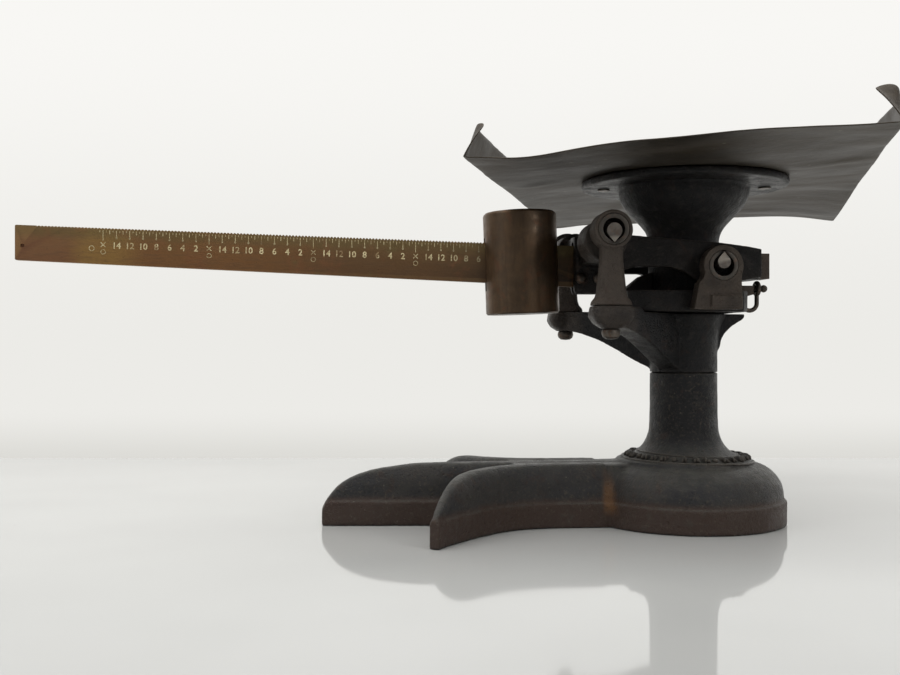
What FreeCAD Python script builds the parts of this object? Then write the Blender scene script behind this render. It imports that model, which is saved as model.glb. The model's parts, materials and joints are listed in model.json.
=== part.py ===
"""Counter beam scale: cast-iron stand, compound lever with a notched brass beam, sliding poise and tin tray.

Frame: millimetres, +Z up, origin on the floor at the axis of the column.
-X is the way the beam points, +X is the heel of the lever, -Y is the near side.
Everything that tilts is modelled in its resting place: load side down, tip of the beam up.
"""

import FreeCAD, Part
import math
import os

V = FreeCAD.Vector

# ---- driving dimensions -------------------------------------------------------------------------
RUN_GAP = 0.04  # radial clearance of a pin in the hole it turns in
REST_GAP = 0.3  # air left between faces that only meet when the scale is at rest

# knife-edges: the lever turns on the fulcrum line, the platform hangs on the load line
FULCRUM_X, FULCRUM_Z = -68.3, 183.0
LOAD_X, LOAD_Z = 9.8, 180.2
POST_Y, POST_DEPTH = 70.4, 16.0
LOAD_BLOCK_Y, LOAD_BLOCK_DEPTH = 47.7, 10.2
FULCRUM_EYE_Z, FULCRUM_HOLE_R, FULCRUM_RING_R, FULCRUM_EYE_R = FULCRUM_Z + 8.3, 6.7, 9.5, 12.0
LOAD_EYE_Z, LOAD_HOLE_R, LOAD_RING_R, LOAD_EYE_R = LOAD_Z - 8.7, 6.8, 9.5, 13.2

# base casting
BASE_H, SKIRT_H, LEDGE, WALL = 41.5, 15.6, 1.9, 4.5
DOME_X, DOME_R = 2.0, 66.5
COLUMN_R, COLUMN_BORE_R, COLUMN_TOP = 23.0, 17.5, 101.5
PALM_X, PALM_HALF, PALM_DROP = -124.0, 28.0, 0.8
FAR_TOE_SHORTER = 14.0

# head casting
HEAD_TOP, ARM_TOP, ARM_THICK, CORBEL_HALF = 141.6, 144.6, 16.0, 8.5
HEAD_BORE_R, SPIGOT_DEPTH = 12.0, 12.0
BOSS_BOTTOM, POST_SCREW_R = 130.4, 4.0

# lever
BAR_Y_IN, BAR_Y_OUT = 32.0, 40.5
HEEL_X, HEEL_TOP = 51.2, 183.4
PLUG_Z, PLUG_SHANK_R = 173.0, 2.5
PIVOT_R = 4.7
LOAD_PIVOT_R = 4.2
EDGE_HALF_ANGLE = 40.0

# beam
BEAM_THICK = 5.0
BEAM_TIP_X, BEAM_ROOT_X = -446.0, -57.0
BEAM_TIP_TOP, BEAM_TIP_BOTTOM = 198.5, 175.6
BEAM_SLOPE_TOP, BEAM_SLOPE_BOTTOM = -0.0293, -0.0428
NOTCH_PITCH, NOTCH_DEPTH = 2.13, 0.9
NOTCH_FIRST_X, NOTCH_COUNT = -432.0, 140

RIVETS = ((-73.6, 165.4), (-61.4, 165.4))
RIVET_R, HUB_HALF = 2.4, 8.5

# poise
POISE_X, POISE_R, POISE_BOTTOM, POISE_TOP = -113.7, 24.9, 141.2, 209.2
POISE_WINDOW, POISE_LEAN = 6.4, -2.0

# platform
DISC_R, DISC_BOTTOM, DISC_TOP = 70.0, 228.0, 232.8
NECK_R, NECK_BOTTOM = 24.0, 156.0
BED_BOTTOM = HEAD_TOP + REST_GAP
BED_X, GUSSET_HALF = (-48.0, 27.0), 7.0
STEM_R = 5.0
SCREW_CIRCLE_R, SCREW_ANGLES = 54.5, (-12.0, 170.0)

# tray: a flat sheet with its long edges turned up, seated off centre and turned on the disc
TRAY_X, TRAY_Y, TRAY_YAW = 12.5, 36.9, -20.0
TRAY_W, TRAY_L, TRAY_T = 244.5, 346.0, 0.9
TRAY_Z = DISC_TOP + 0.2
LIP_H, LIP_LEAN = 23.0, 28.0
TRAY_CORNER_DROP, TRAY_TAPER = 8.0, 4.0
NEAR_EDGE_WAVES = ((1.3, -0.22, 0.20), (-1.8, -0.68, 0.17), (1.8, -1.0, 0.16))  # height, place, spread

# peg and wire hook on the heel side of the bed
PEG_Y, PEG_Z, PEG_END, PEG_R = -13.0, 158.6, 48.1, 1.6
WIRE_R, EYE_R, CURL_R, WIRE_DROP, BALL_R = 1.5, 3.7, 5.0, 9.9, 2.6

# check link, which keeps the platform upright from inside the base
LINK_STEM_X, LINK_STEM_Z, LINK_PIN_R = 0.0, 22.0, 2.5
LINK_ROOT_X = LINK_STEM_X - (LOAD_X - FULCRUM_X)
LINK_ROOT_Z = LINK_STEM_Z + (FULCRUM_Z - LOAD_Z)
LINK_THICK = 5.0

SIDES = (("near", -1), ("far", 1))
parts = {}


# ---- helpers ------------------------------------------------------------------------------------
def polygon(points):
    """A closed flat wire through the points."""
    return Part.makePolygon([V(*p) for p in points] + [V(*points[0])])


def plate(points_xz, y0, y1):
    """A plate with the outline (x, z), from y0 to y1."""
    face = Part.Face(polygon([(x, y0, z) for x, z in points_xz]))
    return face.extrude(V(0, y1 - y0, 0))


def revolve(points_rz, x=0.0, y=0.0):
    """The solid swept by the outline (r, z) about the vertical line through x, y."""
    face = Part.Face(polygon([(r, 0, z) for r, z in points_rz]))
    solid = face.revolve(V(0, 0, 0), V(0, 0, 1), 360)
    return solid.translate(V(x, y, 0))


def cyl(r, h, at, axis=(0, 0, 1)):
    return Part.makeCylinder(r, h, V(*at), V(*axis))


def box(x0, x1, y0, y1, z0, z1):
    return Part.makeBox(x1 - x0, y1 - y0, z1 - z0, V(x0, y0, z0))


def y_cyl(r, x, z, y0, y1):
    """A cylinder along Y whose ends are at y0 and y1, in either order."""
    return cyl(r, abs(y1 - y0), (x, min(y0, y1), z), (0, 1, 0))


def fuse(shapes):
    return shapes[0].fuse(shapes[1:]).removeSplitter()


def rounded_rect(width, depth, radius, x, y, z):
    """A level rectangle with rounded corners, as a wire."""
    a, b = width / 2, depth / 2
    edges = []
    corners = ((a, -b, -90), (a, b, 0), (-a, b, 90), (-a, -b, 180))
    arcs = []
    for cx, cy, start in corners:
        centre = V(x + cx - math.copysign(radius, cx), y + cy - math.copysign(radius, cy), z)
        marks = []
        for angle in (start, start + 45, start + 90):
            t = math.radians(angle)
            marks.append(centre + V(radius * math.cos(t), radius * math.sin(t), 0))
        arcs.append(marks)
    for i, marks in enumerate(arcs):
        edges.append(Part.Arc(*marks).toShape())
        edges.append(Part.LineSegment(marks[2], arcs[(i + 1) % 4][0]).toShape())
    return Part.Wire(edges)


def tower(levels, x, y):
    """A tapering block through rounded rectangles: each level is (z, width, depth, radius)."""
    wires = [rounded_rect(w, d, r, x, y, z) for z, w, d, r in levels]
    return Part.makeLoft(wires, True, True)


def teardrop(r, x, z_edge, z_centre, y0, y1):
    """A hole along Y: round, with a V that runs from the circle to a point at z_edge."""
    reach = abs(z_centre - z_edge)
    half = math.asin(r / reach)
    way = math.copysign(1, z_edge - z_centre)
    side = r * math.cos(half)
    shoulder = z_centre + way * r * math.sin(half)
    wedge = plate([(x, z_edge), (x + side, shoulder), (x, z_centre), (x - side, shoulder)], y0, y1)
    return fuse([y_cyl(r, x, z_centre, y0, y1), wedge])


def knife_edge(r, x, z_edge, up, y0, y1):
    """A steel pivot along Y: round on one side, ground to an edge at z_edge on the other."""
    half = math.radians(EDGE_HALF_ANGLE)
    way = 1 if up else -1
    z_centre = z_edge - way * r / math.sin(half)
    side = r * math.cos(half)
    shoulder = z_centre + way * r * math.sin(half)
    wedge = plate([(x, z_edge), (x + side, shoulder), (x, z_centre), (x - side, shoulder)], y0, y1)
    return fuse([y_cyl(r, x, z_centre, y0, y1), wedge])


def screw(r_head, h_head, r_shank, length, at, axis):
    """A slotted screw: the head stands on the point at, and the shank goes down along axis."""
    down = V(*axis)
    head = Part.makeCylinder(r_head, h_head, V(*at) - down * h_head, down)
    shank = Part.makeCylinder(r_shank, length, V(*at), down)
    slot = Part.makeBox(3 * r_head, 1.2, h_head, V(-1.5 * r_head, -0.6, 0))
    slot.Placement = FreeCAD.Placement(V(*at) - down * (1.6 * h_head), FreeCAD.Rotation(V(0, 0, 1), down))
    return fuse([head, shank]).cut(slot)


# ---- base casting -------------------------------------------------------------------------------
def ridge_section(centre, heading, half, height, inset):
    """One cross-section of a toe: skirt, ledge, then an elliptical shoulder up to the crest."""
    half, height = half - inset, height - inset
    skirt = min(SKIRT_H, height * 0.9)
    ledge = min(LEDGE, half * 0.3)
    across = V(-math.sin(heading), math.cos(heading), 0)
    foot = -1.0 if inset else 0.0

    def at(side, up):
        return V(centre[0], centre[1], up) + across * side

    top = skirt + ledge * 0.8
    crown = []
    for i in range(9):
        t = math.pi * i / 8
        side = (half - ledge) * math.copysign(abs(math.cos(t)) ** 0.65, math.cos(t))
        crown.append(at(side, top + max(height - top, 0.3) * math.sin(t) ** 0.65))
    curve = Part.BSplineCurve()
    curve.interpolate(crown)
    line = Part.LineSegment
    edges = [line(at(-half, foot), at(half, foot)), line(at(half, foot), at(half, skirt)),
             line(at(half, skirt), crown[0]), curve,
             line(crown[-1], at(-half, skirt)), line(at(-half, skirt), at(-half, foot))]
    return Part.Wire([e.toShape() for e in edges])


def smoothed(stations, steps=3):
    """The stations with more between them, on a Catmull-Rom curve through each value."""
    dense = []
    last = len(stations) - 1
    for i in range(last):
        before, start, end, after = (stations[max(i - 1, 0)], stations[i], stations[i + 1],
                                     stations[min(i + 2, last)])
        for k in range(steps):
            u = k / steps
            weights = (-u / 2 + u * u - u ** 3 / 2, 1 - 2.5 * u * u + 1.5 * u ** 3,
                       u / 2 + 2 * u * u - 1.5 * u ** 3, u ** 3 / 2 - u * u / 2)
            dense.append([sum(w * v for w, v in zip(weights, values))
                          for values in zip(before, start, end, after)])
    return dense + [stations[-1]]


def toe(stations, inset):
    """A toe lofted through (x, y, heading in degrees, half width, height)."""
    wires = [ridge_section((x, y), math.radians(a), half, h, inset)
             for x, y, a, half, h in smoothed(stations) if half - inset > 1.2 and h - inset > 2.0]
    return Part.makeLoft(wires, True, True)


# heading 180 points along the beam; the side toes curve out from the palm to their blunt tips
MIDDLE_TOE = [(-30, 0, 180, 14, BASE_H), (-110, 0, 180, 13, BASE_H), (-164, 0, 180, 11, 41.3),
              (-189, 0, 180, 9.5, 40.4), (-216, 0, 180, 7.8, 36.4), (-234, 0, 180, 6.2, 28.8),
              (-244, 0, 180, 5.0, 18.4), (-248, 0, 180, 4.2, 11.0)]
SIDE_TOE = [(-60, -15, 180, 12, BASE_H), (-96, -15.5, 182, 12.5, BASE_H), (-122, -21.5, 202, 12, BASE_H),
            (-140, -32.5, 219, 11.4, 41.2), (-154.5, -48, 231, 10.2, 40.4), (-164.5, -62.5, 235, 8.4, 37.0),
            (-172.4, -76.5, 238, 5.8, 29.4), (-177, -86, 239, 4.2, 22.4), (-179.6, -91.2, 240, 3.2, 16.8)]


def mirrored(stations):
    """The far toe: it mirrors the near one, drawn in a little towards its tip."""
    bend_x = stations[2][0]
    span = bend_x - stations[-1][0]
    return [(x + FAR_TOE_SHORTER * max(bend_x - x, 0) / span, -y, 360 - a, half, h)
            for x, y, a, half, h in stations]


def dome(inset):
    """The round foot under the column: skirt, ledge, shoulder and crown."""
    r, h = DOME_R - inset, BASE_H - inset
    foot = -1.0 if inset else 0.0
    outline = [(0, foot), (r, foot), (r, SKIRT_H), (r - LEDGE, SKIRT_H + 1.2)]
    top = SKIRT_H + 1.2
    for i in range(1, 8):
        t = math.pi / 2 * i / 8
        outline.append((36 - inset / 2 + (r - LEDGE - 36 + inset / 2) * math.cos(t) ** 0.9,
                        top + (h - top) * math.sin(t) ** 0.85))
    outline += [(36 - inset / 2, h), (0, h)]
    return revolve(outline, DOME_X)


def palm(inset):
    """The web that joins the toes: straight sided, hollowed back between them in front."""
    half, h = PALM_HALF - inset, BASE_H - PALM_DROP - inset
    foot = -1.0 if inset else 0.0
    outline = [(-half, foot), (half, foot), (half, SKIRT_H), (half - LEDGE, SKIRT_H + 1.2)]
    for i in range(1, 6):
        t = math.pi / 2 * i / 6
        outline.append((half - 12 + (12 - LEDGE) * math.cos(t),
                        SKIRT_H + 1.2 + (h - SKIRT_H - 1.2) * math.sin(t)))
    outline += [(half - 12, h)]
    left = [(-y, z) for y, z in reversed(outline[2:])]
    face = Part.Face(polygon([(0, y, z) for y, z in outline + left]))
    return face.extrude(V(PALM_X + inset + 4, 0, 0))


def base_body(inset):
    return fuse([dome(inset), palm(inset), toe(MIDDLE_TOE, inset),
                 toe(SIDE_TOE, inset), toe(mirrored(SIDE_TOE), inset)])


def base_casting():
    flare = [(0, 30), (46, 37), (46, 42.2), (42, 43.4), (38, 44.6), (34, 46.2), (30.4, 48.8), (27.4, 52.2),
             (25.2, 56.4), (23.8, 61.0), (23.3, 70.0), (COLUMN_R, 84.0), (COLUMN_R, COLUMN_TOP),
             (0, COLUMN_TOP)]
    outside = base_body(0).fuse(revolve(flare))
    lug_x, lug_z = LINK_ROOT_X, LINK_ROOT_Z
    lugs = []
    for way in (-1, 1):
        y0 = way * (LINK_THICK / 2 + 0.6)
        outline = [(lug_x - 8, BASE_H - 2), (lug_x - 7, lug_z), (lug_x - 4, lug_z - 6),
                   (lug_x + 4, lug_z - 6), (lug_x + 7, lug_z), (lug_x + 8, BASE_H - 2)]
        lugs.append(plate(outline, y0, y0 + way * 5))
    shell = outside.cut(base_body(WALL)).cut(cyl(COLUMN_BORE_R, COLUMN_TOP, (0, 0, 10)))
    shell = shell.fuse(lugs).removeSplitter()
    return shell.cut(y_cyl(LINK_PIN_R, lug_x, lug_z, -12, 12))


# ---- head casting, posts and bearings -----------------------------------------------------------
def head_arm(way):
    """One arm: a deep web from the column to the boss that carries a bearing post."""
    reach = math.hypot(FULCRUM_X, POST_Y)
    under = [(18, 102), (26, 105.4), (34, 108.8), (42, 112.6), (51, 117.4), (64, 123.4), (80, 128.4),
             (reach, 132.0)]
    over = [(reach, ARM_TOP), (reach - 24, ARM_TOP), (reach - 30, HEAD_TOP), (18, HEAD_TOP)]
    arm = plate(under + over, -ARM_THICK / 2, ARM_THICK / 2)
    turn = math.degrees(math.atan2(way * POST_Y, FULCRUM_X))
    arm.rotate(V(0, 0, 0), V(0, 0, 1), turn)
    boss = tower([(BOSS_BOTTOM, 13, 13, 5), (133.6, 22, 18, 5), (138.0, 27.2, 22, 6), (ARM_TOP, 25, 21, 6)],
                 FULCRUM_X, way * POST_Y)
    return arm.fuse(boss)


def head_casting():
    bell = [(0, COLUMN_TOP), (COLUMN_R, COLUMN_TOP), (COLUMN_R, 118.0), (23.8, 126.0), (25.4, 133.0),
            (27.4, 137.6), (28.4, 139.4), (28.4, HEAD_TOP), (0, HEAD_TOP)]
    corbel = plate([(18, 112), (23.2, 118), (24.4, 124), (26.6, 128), (31.4, 132.6), (36.6, 136),
                    (39.4, 137.6), (40.6, 139), (40.6, HEAD_TOP), (18, HEAD_TOP)], -CORBEL_HALF, CORBEL_HALF)
    body = fuse([revolve(bell), cyl(COLUMN_BORE_R - 0.1, SPIGOT_DEPTH, (0, 0, COLUMN_TOP - SPIGOT_DEPTH)),
                 corbel, head_arm(-1), head_arm(1)])
    body = body.cut(cyl(HEAD_BORE_R, 80, (0, 0, COLUMN_TOP - SPIGOT_DEPTH - 1)))
    for _, way in SIDES:
        body = body.cut(cyl(POST_SCREW_R, 40, (FULCRUM_X, way * POST_Y, 120)))
    return body


def bearing_post(way):
    """A tapered post with an eye at its top for the bearing ring."""
    y0, y1 = way * POST_Y - POST_DEPTH / 2, way * POST_Y + POST_DEPTH / 2
    stem = tower([(ARM_TOP, 24.5, 19, 5), (147.2, 23.6, 18, 5), (149.8, 19.4, 16, 4.6),
                  (153.0, 17.6, 15, 4.4), (172.0, 14.0, 13.4, 4.2), (184.0, 13.6, 13.0, 4.2)],
                 FULCRUM_X, way * POST_Y)
    post = fuse([stem, y_cyl(FULCRUM_EYE_R, FULCRUM_X, FULCRUM_EYE_Z, y0, y1)])
    post = post.cut(y_cyl(FULCRUM_RING_R, FULCRUM_X, FULCRUM_EYE_Z, y0, y1))
    return post.cut(cyl(POST_SCREW_R, 16.0, (FULCRUM_X, way * POST_Y, ARM_TOP)))


def fulcrum_bearing(way):
    """The steel ring in a post's eye: the point of its hole holds the lever's knife-edge."""
    y0, y1 = way * POST_Y - POST_DEPTH / 2, way * POST_Y + POST_DEPTH / 2
    ring = y_cyl(FULCRUM_RING_R, FULCRUM_X, FULCRUM_EYE_Z, y0, y1)
    return ring.cut(teardrop(FULCRUM_HOLE_R, FULCRUM_X, FULCRUM_Z - RUN_GAP, FULCRUM_EYE_Z, y0, y1))


def post_screw(way):
    """The round-headed screw that comes up through an arm's boss into its post."""
    z = BOSS_BOTTOM
    head = revolve([(0, z - 6.6), (3.4, z - 6.2), (5.2, z - 4.8), (5.9, z - 2.8), (5.6, z - 0.8),
                    (5.0, z), (0, z)], FULCRUM_X, way * POST_Y)
    return fuse([head, cyl(POST_SCREW_R, ARM_TOP + 16.0 - z, (FULCRUM_X, way * POST_Y, z))])


# ---- lever --------------------------------------------------------------------------------------
def heel_loop():
    """The round end of the lever, seen from above: a band bent round behind the neck."""
    z0, z1, x0 = 164.8, HEEL_TOP, 12.0
    rim = []
    for half, x_end in ((BAR_Y_OUT, HEEL_X), (BAR_Y_IN, HEEL_X - 8.5)):
        ellipse = [(x0 + (x_end - x0) * math.cos(t) ** 0.8 if math.cos(t) > 1e-9 else x0, half * math.sin(t))
                   for t in (math.pi / 2 - math.pi * i / 24 for i in range(25))]
        rim.append(Part.Face(polygon([(x, y, z0) for x, y in ellipse])).extrude(V(0, 0, z1 - z0)))
    return rim[0].cut(rim[1])


def side_bar(way):
    """A side of the lever: boss, arched bar and the eye of the load pivot."""
    top = [(-76, 196.0), (-48, 191.7), (7, 188.0), (30, 185.2), (40, HEEL_TOP)]
    under = [(40, 164.8), (24, 162.0), (12, 157.4), (2, 158.0), (-5, 163.6), (-13, 168.6), (-22, 171.2),
             (-44, 171.2), (-54, 168.0), (-60, 174.0), (-76, 176.0)]
    bar = plate(top + under, way * BAR_Y_IN, way * BAR_Y_OUT)
    return [bar, y_cyl(12.0, LOAD_X, LOAD_Z - 7.0, way * BAR_Y_IN, way * (BAR_Y_OUT + 1.2)),
            y_cyl(13.6, FULCRUM_X, FULCRUM_Z + 3.5, way * BAR_Y_IN, way * 59.5)]


def lever_frame():
    shapes = side_bar(-1) + side_bar(1)
    shapes.append(heel_loop())
    shapes.append(plate([(-75, 195), (-57, 193), (-57, 172), (-75, 174)], -BAR_Y_OUT, BAR_Y_OUT))
    hub = 2 * HUB_HALF
    shapes.append(tower([(155.0, 22, hub - 2, 3), (158.0, 24, hub, 3), (194.0, 24, hub, 3)], -66, 0))
    frame = fuse(shapes)
    frame = frame.cut(box(-90, BEAM_ROOT_X, -BEAM_THICK / 2, BEAM_THICK / 2, 150, 190.2))
    for way in (-1, 1):
        frame = frame.cut(knife_edge(PIVOT_R, FULCRUM_X, FULCRUM_Z, False, way * 44, way * 80))
        frame = frame.cut(knife_edge(LOAD_PIVOT_R, LOAD_X, LOAD_Z, True, way * 33.5, way * 60))
    for x, z in RIVETS:
        frame = frame.cut(y_cyl(RIVET_R, x, z, -10, 10))
    return frame.cut(cyl(PLUG_SHANK_R, 20, (HEEL_X - 15, 0, PLUG_Z), (1, 0, 0)))


def beam_rivets():
    """Two rivets through the hub and the root of the beam, with domed heads."""
    shapes = []
    for x, z in RIVETS:
        shank = y_cyl(RIVET_R, x, z, -HUB_HALF, HUB_HALF)
        for way in (-1, 1):
            dome_head = Part.makeSphere(4.6, V(x, way * (HUB_HALF - 2.3), z), V(0, way, 0), 0, 90, 360)
            keep = y_cyl(6.0, x, z, way * HUB_HALF, way * (HUB_HALF + 4))
            shank = shank.fuse(dome_head.common(keep))
        shapes.append(shank)
    return Part.makeCompound(shapes)


def beam_top(x):
    return BEAM_TIP_TOP + BEAM_SLOPE_TOP * (x - BEAM_TIP_X)


def beam_bottom(x):
    return BEAM_TIP_BOTTOM + BEAM_SLOPE_BOTTOM * (x - BEAM_TIP_X)


def beam_bar():
    """The brass beam: a tapering bar with a V notch for every half ounce and a dimple near its tip."""
    outline = [(BEAM_TIP_X, beam_bottom(BEAM_TIP_X) + 0.6), (BEAM_TIP_X, beam_top(BEAM_TIP_X) - 0.6),
               (BEAM_TIP_X + 0.6, beam_top(BEAM_TIP_X))]
    for i in range(NOTCH_COUNT):
        x = NOTCH_FIRST_X + i * NOTCH_PITCH
        outline += [(x - 0.55, beam_top(x - 0.55)), (x, beam_top(x) - NOTCH_DEPTH),
                    (x + 0.75, beam_top(x + 0.75))]
    outline += [(BEAM_ROOT_X, beam_top(BEAM_ROOT_X)), (BEAM_ROOT_X, beam_bottom(BEAM_ROOT_X)),
                (BEAM_TIP_X + 0.6, beam_bottom(BEAM_TIP_X))]
    bar = plate(outline, -BEAM_THICK / 2, BEAM_THICK / 2)
    near_face = -BEAM_THICK / 2
    bar = bar.cut(y_cyl(1.3, BEAM_TIP_X + 4.7, beam_top(BEAM_TIP_X) - 13.5, near_face - 1.0, near_face + 1.6))
    for x, z in RIVETS:
        bar = bar.cut(y_cyl(RIVET_R, x, z, -5, 5))
    return bar


def heel_plug():
    """The small balance block screwed to the round end of the lever."""
    block = box(HEEL_X + 0.02, HEEL_X + 7.0, -8.5, 8.5, 165.6, HEEL_TOP - 0.2)
    return fuse([block, cyl(PLUG_SHANK_R, 7.0, (HEEL_X - 6.0, 0, PLUG_Z), (1, 0, 0))])


# ---- poise --------------------------------------------------------------------------------------
def poise_window():
    """The slot the beam runs through, level with the beam's notched edge."""
    reach = POISE_R + 6
    x0, x1 = POISE_X - reach, POISE_X + reach
    outline = [(x0, beam_top(x0) + 3.0), (x1, beam_top(x1) + 3.0), (x1, beam_bottom(x1) - 4.0),
               (x0, beam_bottom(x0) - 6.0)]
    return plate(outline, -POISE_WINDOW / 2, POISE_WINDOW / 2)


def lean(shape):
    """The poise hangs a little out of square on the beam."""
    shape.rotate(V(POISE_X, 0, beam_top(POISE_X)), V(0, 1, 0), POISE_LEAN)
    return shape


def poise_body():
    outline = [(0, POISE_BOTTOM), (POISE_R - 1.0, POISE_BOTTOM), (POISE_R, POISE_BOTTOM + 1.0),
               (POISE_R, POISE_TOP - 1.4), (POISE_R - 0.5, POISE_TOP), (0, POISE_TOP)]
    body = lean(revolve(outline, POISE_X))
    body = body.cut(poise_window())
    return body.cut(poise_pawl())


def poise_cap():
    """The low crowned lid."""
    outline = [(0, POISE_TOP), (POISE_R - 0.9, POISE_TOP), (POISE_R - 1.5, POISE_TOP + 0.9),
               (16, POISE_TOP + 1.9), (7, POISE_TOP + 2.4), (0, POISE_TOP + 2.5)]
    return lean(revolve(outline, POISE_X))


def poise_pawl():
    """The steel knife that drops into a notch, its edge just clear of the crests."""
    edge = POISE_X - 1.0
    top = beam_top(edge)
    blade = plate([(edge, top + 0.12), (edge + 3, top + 2.4), (edge + 3, top + 8), (edge - 3, top + 8),
                   (edge - 3, top + 2.4)], -POISE_WINDOW / 2, POISE_WINDOW / 2)
    root = box(edge - 3, edge + 3, -7, 7, top + 3.4, top + 8)
    return fuse([blade, root])


# ---- platform -----------------------------------------------------------------------------------
def neck_casting():
    """The funnel: a round neck on the bed that opens into the disc under the tray."""
    outline = [(17, NECK_BOTTOM), (NECK_R, NECK_BOTTOM), (NECK_R, 192.4), (24.8, 195.5), (26.2, 198.6),
               (28.6, 202.0), (32.7, 206.4), (37.2, 210.8), (40.4, 214.8), (42.8, 219.0), (44.0, 223.6),
               (44.4, DISC_BOTTOM), (DISC_R - 1.0, DISC_BOTTOM), (DISC_R, DISC_BOTTOM + 1.0),
               (DISC_R, DISC_TOP - 0.8), (DISC_R - 0.8, DISC_TOP), (37.6, DISC_TOP), (37.0, 223.0),
               (34.0, 217.6), (25.0, 208.0), (18.6, 199.0), (17, 192.0)]
    neck = revolve(outline)
    for x, y in screw_places():
        neck = neck.cut(cyl(2.6, 12, (x, y, DISC_BOTTOM - 4)))
    return neck


def screw_places():
    places = []
    for angle in SCREW_ANGLES:
        t = math.radians(angle)
        places.append((SCREW_CIRCLE_R * math.cos(t), SCREW_CIRCLE_R * math.sin(t)))
    return places


def bed_casting():
    """The saddle under the neck: a thick plate with a cheek on each side for the load blocks."""
    half = LOAD_BLOCK_Y - LOAD_BLOCK_DEPTH / 2
    x0, x1 = BED_X
    cut = 9.0
    outline = [(x0, -half + cut), (x0 + cut, -half), (x1, -half), (x1 + 6, -half + cut), (x1 + 6, half - cut),
               (x1, half), (x0 + cut, half), (x0, half - cut)]
    face = Part.Face(polygon([(x, y, BED_BOTTOM) for x, y in outline]))
    slab = face.extrude(V(0, 0, NECK_BOTTOM - BED_BOTTOM))
    gusset = plate([(x0 + 1, NECK_BOTTOM - 1), (x0 + 2, NECK_BOTTOM), (x0 + 9, 161.0), (x0 + 17, 167.5),
                    (-NECK_R + 3, 171.0), (-NECK_R + 3, NECK_BOTTOM - 1)], -GUSSET_HALF, GUSSET_HALF)
    gusset = gusset.cut(cyl(NECK_R, 30, (0, 0, NECK_BOTTOM)))
    return slab.fuse(gusset).cut(cyl(STEM_R, 30, (0, 0, BED_BOTTOM - 5)))


def load_block(way):
    """The block that hangs on a load pivot: an eye above, a broad foot against the bed."""
    y0 = way * (LOAD_BLOCK_Y - LOAD_BLOCK_DEPTH / 2)
    y1 = way * (LOAD_BLOCK_Y + LOAD_BLOCK_DEPTH / 2)
    foot = plate([(LOAD_X - 19.6, 143.2), (LOAD_X + 12.8, 143.2), (LOAD_X + 12.8, 150.0),
                  (LOAD_X + 12.0, 162.0), (LOAD_X + 12.2, 168.0), (LOAD_X - 12.2, 168.0),
                  (LOAD_X - 13.6, 163.0), (LOAD_X - 16.4, 160.0), (LOAD_X - 18.0, 151.0)], y0, y1)
    lip = box(LOAD_X - 8.6, LOAD_X + 12.0, min(y1, y1 + way * 2.0), max(y1, y1 + way * 2.0), 144.6, 152.4)
    block = fuse([foot, y_cyl(LOAD_EYE_R, LOAD_X, LOAD_EYE_Z, y0, y1), lip])
    return block.cut(y_cyl(LOAD_RING_R, LOAD_X, LOAD_EYE_Z, y0, y1))


def load_bearing(way):
    """The steel ring in a load block: it hangs by the point of its hole on the lever's load edge."""
    y0 = way * (LOAD_BLOCK_Y - LOAD_BLOCK_DEPTH / 2)
    y1 = way * (LOAD_BLOCK_Y + LOAD_BLOCK_DEPTH / 2)
    ring = y_cyl(LOAD_RING_R, LOAD_X, LOAD_EYE_Z, y0, y1)
    return ring.cut(teardrop(LOAD_HOLE_R, LOAD_X, LOAD_Z + RUN_GAP, LOAD_EYE_Z, y0, y1))


def stem_rod():
    """The rod from the bed down through the column."""
    rod = cyl(STEM_R, NECK_BOTTOM + 9.0 - 34.0, (0, 0, 34.0))
    collar = cyl(7.0, 2.0, (0, 0, BED_BOTTOM - 6.0))
    return fuse([rod, collar])


def stem_clevis():
    """The fork on the rod's lower end, with the eye that takes the link's pin."""
    half = 7.0
    block = tower([(LINK_STEM_Z - 8, 11, 11, 2), (LINK_STEM_Z - 4, 14, 14, 2), (36.0, 14, 14, 2),
                   (40.0, 12, 12, 2)], LINK_STEM_X, 0)
    slot = box(LINK_STEM_X - half - 1, LINK_STEM_X + half + 1, -LINK_THICK / 2 - 0.3, LINK_THICK / 2 + 0.3,
               LINK_STEM_Z - 9, LINK_STEM_Z + 8.5)
    block = block.cut(slot).cut(cyl(STEM_R, 20, (0, 0, 34.0)))
    return block.cut(y_cyl(LINK_PIN_R, LINK_STEM_X, LINK_STEM_Z, -10, 10))


def hexagon(x, y, z0, z1, across):
    r = across / 2 / math.cos(math.pi / 6)
    corners = [(x + r * math.cos(math.pi * i / 3), y + r * math.sin(math.pi * i / 3), z0) for i in range(6)]
    return Part.Face(polygon(corners)).extrude(V(0, 0, z1 - z0))


def stem_nut():
    return hexagon(0, 0, NECK_BOTTOM, NECK_BOTTOM + 6, 17).cut(cyl(STEM_R, 10, (0, 0, NECK_BOTTOM - 1)))


def hook_peg():
    """The peg with a ball end that stands out of the bed's heel side."""
    root_x = BED_X[1] + 6
    arm = [(root_x, 150.0), (root_x + 4, 152.6), (PEG_END - 4, 154.6), (PEG_END - 4, 160.6),
           (root_x - 6, 160.6), (root_x - 6, NECK_BOTTOM), (root_x, NECK_BOTTOM)]
    bracket = plate(arm, PEG_Y - 3, PEG_Y + 3)
    bar = cyl(PEG_R, 8.0, (PEG_END - 5, PEG_Y, PEG_Z), (1, 0, 0))
    return fuse([bracket, bar, Part.makeSphere(BALL_R, V(PEG_END + 3.8, PEG_Y, PEG_Z))])


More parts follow.
